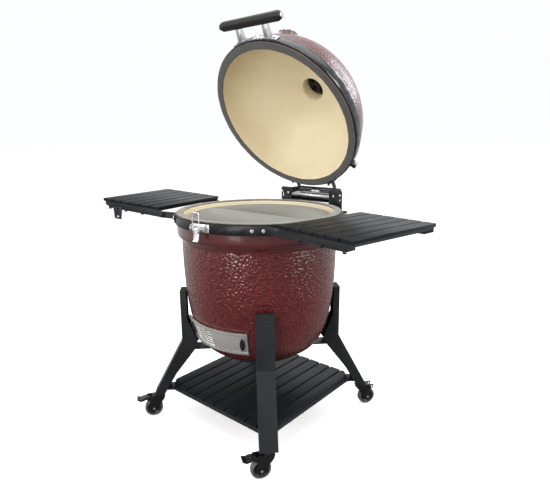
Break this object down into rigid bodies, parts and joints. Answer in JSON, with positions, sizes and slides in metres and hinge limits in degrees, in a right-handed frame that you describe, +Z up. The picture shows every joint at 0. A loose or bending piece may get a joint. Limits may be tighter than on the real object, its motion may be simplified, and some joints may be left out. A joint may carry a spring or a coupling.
{
  "type": "kamado ceramic grill",
  "caption": "Egg-shaped ceramic charcoal grill with a spring-hinged dome lid, fold-down side shelves and a four-legged caster cart.",
  "frame": {"origin": "on the floor, on the vertical axis of the ceramic bowl", "axes": "+Z up, -Y the front with the latch and draft door, +X the right side shelf of a person standing at the front, lid open as stored"},
  "size_m": [1.3938, 0.8592, 1.6002],
  "materials": {
    "red_glaze": "glossy dark red glaze with a fine dimple",
    "raw_ceramic": "matte cream fire clay",
    "felt": "dense grey felt",
    "cast_grate": "black cast iron",
    "stainless": "brushed stainless steel",
    "spring_steel": "oiled spring steel",
    "dark_powder": "satin charcoal powder coat",
    "bolt_steel": "bright zinc plate",
    "bright_metal": "satin aluminium",
    "grip_black": "satin black",
    "black_iron": "black cast iron",
    "dial_white": "printed white dial",
    "needle_red": "red needle",
    "clear_glass": "clear lens",
    "rubber_pad": "black rubber",
    "caster_black": "black",
    "tread_grey": "dark grey tread"
  },
  "bodies": {
    "cart": {"base_bowl": "red_glaze", "base_gasket": "felt", "fire_box": "raw_ceramic", "fire_ring": "raw_ceramic", "charcoal_grate": "cast_grate", "cooking_grate_front": "stainless", "cooking_grate_rear": "stainless", "lower_band": "dark_powder", "lower_band_bolts": "bolt_steel", "hinge_base_bracket": "dark_powder", "hinge_pin": "stainless", "hinge_springs": "spring_steel", "hinge_spring_bar": "stainless", "latch_bracket": "bolt_steel", "draft_frame": "stainless", "bowl_cradle": "dark_powder", "bowl_pads": "rubber_pad", "legs": "dark_powder", "leg_caps": "rubber_pad", "lower_shelf_frame": "dark_powder", "lower_shelf_slats": "dark_powder", "caster_top_plates": "caster_black", "shelf_brackets": "dark_powder"},
    "lid": {"dome_lid": "red_glaze", "lid_gasket": "felt", "upper_band": "dark_powder", "upper_band_bolts": "bolt_steel", "hinge_lid_bracket": "dark_powder", "handle_arms": "bright_metal", "handle_grip": "grip_black", "handle_end_caps": "bright_metal", "latch_catch": "bolt_steel", "thermometer_case": "bright_metal", "thermometer_dial": "dial_white", "thermometer_glass": "clear_glass", "thermometer_probe": "stainless", "top_vent_base": "black_iron"},
    "thermometer_needle": {"thermometer_needle": "needle_red"},
    "top_vent_cap": {"top_vent_cap": "black_iron"},
    "latch_lever": {"latch_lever": "bolt_steel"},
    "latch_loop": {"latch_loop": "bolt_steel"},
    "draft_screen": {"draft_screen": "stainless", "draft_screen_knob": "grip_black"},
    "draft_door": {"draft_door": "stainless", "draft_door_knob": "grip_black"},
    "right_shelf": {"right_shelf_frame": "dark_powder", "right_shelf_slats": "dark_powder"},
    "left_shelf": {"left_shelf_frame": "dark_powder", "left_shelf_slats": "dark_powder", "bottle_opener": "bolt_steel"},
    "caster_fork_fl": {"caster_fork_fl": "caster_black"},
    "caster_wheel_fl": {"caster_wheel_fl": "tread_grey"},
    "caster_brake_fl": {"caster_brake_fl": "caster_black"},
    "caster_fork_fr": {"caster_fork_fr": "caster_black"},
    "caster_wheel_fr": {"caster_wheel_fr": "tread_grey"},
    "caster_brake_fr": {"caster_brake_fr": "caster_black"},
    "caster_fork_rr": {"caster_fork_rr": "caster_black"},
    "caster_wheel_rr": {"caster_wheel_rr": "tread_grey"},
    "caster_fork_rl": {"caster_fork_rl": "caster_black"},
    "caster_wheel_rl": {"caster_wheel_rl": "tread_grey"}
  },
  "joints": [
    {"name": "lid_hinge", "type": "hinge", "parent": "cart", "child": "lid", "pos_m": [0, 0.3925, 0.927], "axis": [-1, 0, 0], "range_deg": [-57, 0], "stiffness_Nm_per_rad": 111, "springref_deg": 27.79},
    {"name": "top_vent_turn", "type": "hinge", "parent": "lid", "child": "top_vent_cap", "pos_m": [0, 0.41775, 1.4114], "axis": [0, 0.8387, 0.5446], "range_deg": [0, 36]},
    {"name": "thermometer_needle_turn", "type": "hinge", "parent": "lid", "child": "thermometer_needle", "pos_m": [0, 0.18502, 1.57168], "axis": [0, -0.2057, -0.9786], "range_deg": [0, 270]},
    {"name": "latch_lever_swing", "type": "hinge", "parent": "cart", "child": "latch_lever", "pos_m": [0.02421, -0.34615, 0.866], "axis": [-0.9976, -0.0698, 0], "range_deg": [0, 105]},
    {"name": "latch_loop_swing", "type": "hinge", "parent": "latch_lever", "child": "latch_loop", "pos_m": [0.02466, -0.35264, 0.857], "axis": [0.9976, 0.0698, 0], "range_deg": [0, 140]},
    {"name": "draft_door_slide", "type": "hinge", "parent": "cart", "child": "draft_door", "pos_m": [0, 0, 0.431], "axis": [0, 0, -1], "range_deg": [0, 26]},
    {"name": "draft_screen_slide", "type": "hinge", "parent": "cart", "child": "draft_screen", "pos_m": [0, 0, 0.431], "axis": [0, 0, -1], "range_deg": [-25.5, 0]},
    {"name": "right_shelf_fold", "type": "hinge", "parent": "cart", "child": "right_shelf", "pos_m": [0.34665, -0.06112, 0.868], "axis": [0.1736, 0.9848, 0], "range_deg": [0, 90]},
    {"name": "left_shelf_fold", "type": "hinge", "parent": "cart", "child": "left_shelf", "pos_m": [-0.34665, -0.06112, 0.868], "axis": [0.1736, -0.9848, 0], "range_deg": [0, 93]},
    {"name": "caster_swivel_fl", "type": "hinge", "parent": "cart", "child": "caster_fork_fl", "pos_m": [-0.311, -0.311, 0.1], "axis": [0, 0, 1], "continuous": true},
    {"name": "caster_roll_fl", "type": "hinge", "parent": "caster_fork_fl", "child": "caster_wheel_fl", "pos_m": [-0.32778, -0.33587, 0.0375], "axis": [-0.829, 0.5592, 0], "continuous": true},
    {"name": "caster_brake_fl", "type": "hinge", "parent": "caster_fork_fl", "child": "caster_brake_fl", "pos_m": [-0.33896, -0.35245, 0.084], "axis": [0.829, -0.5592, 0], "range_deg": [0, 12]},
    {"name": "caster_swivel_fr", "type": "hinge", "parent": "cart", "child": "caster_fork_fr", "pos_m": [0.311, -0.311, 0.1], "axis": [0, 0, 1], "continuous": true},
    {"name": "caster_roll_fr", "type": "hinge", "parent": "caster_fork_fr", "child": "caster_wheel_fr", "pos_m": [0.29422, -0.33587, 0.0375], "axis": [-0.829, 0.5592, 0], "continuous": true},
    {"name": "caster_brake_fr", "type": "hinge", "parent": "caster_fork_fr", "child": "caster_brake_fr", "pos_m": [0.28304, -0.35245, 0.084], "axis": [0.829, -0.5592, 0], "range_deg": [0, 12]},
    {"name": "caster_swivel_rr", "type": "hinge", "parent": "cart", "child": "caster_fork_rr", "pos_m": [0.311, 0.311, 0.1], "axis": [0, 0, 1], "continuous": true},
    {"name": "caster_roll_rr", "type": "hinge", "parent": "caster_fork_rr", "child": "caster_wheel_rr", "pos_m": [0.32778, 0.33587, 0.0375], "axis": [0.829, -0.5592, 0], "continuous": true},
    {"name": "caster_swivel_rl", "type": "hinge", "parent": "cart", "child": "caster_fork_rl", "pos_m": [-0.311, 0.311, 0.1], "axis": [0, 0, 1], "continuous": true},
    {"name": "caster_roll_rl", "type": "hinge", "parent": "caster_fork_rl", "child": "caster_wheel_rl", "pos_m": [-0.29422, 0.33587, 0.0375], "axis": [0.829, -0.5592, 0], "continuous": true}
  ],
  "couplings": [
    {"joint": "latch_loop_swing", "follows": "latch_lever_swing", "ratio": 1.3}
  ]
}
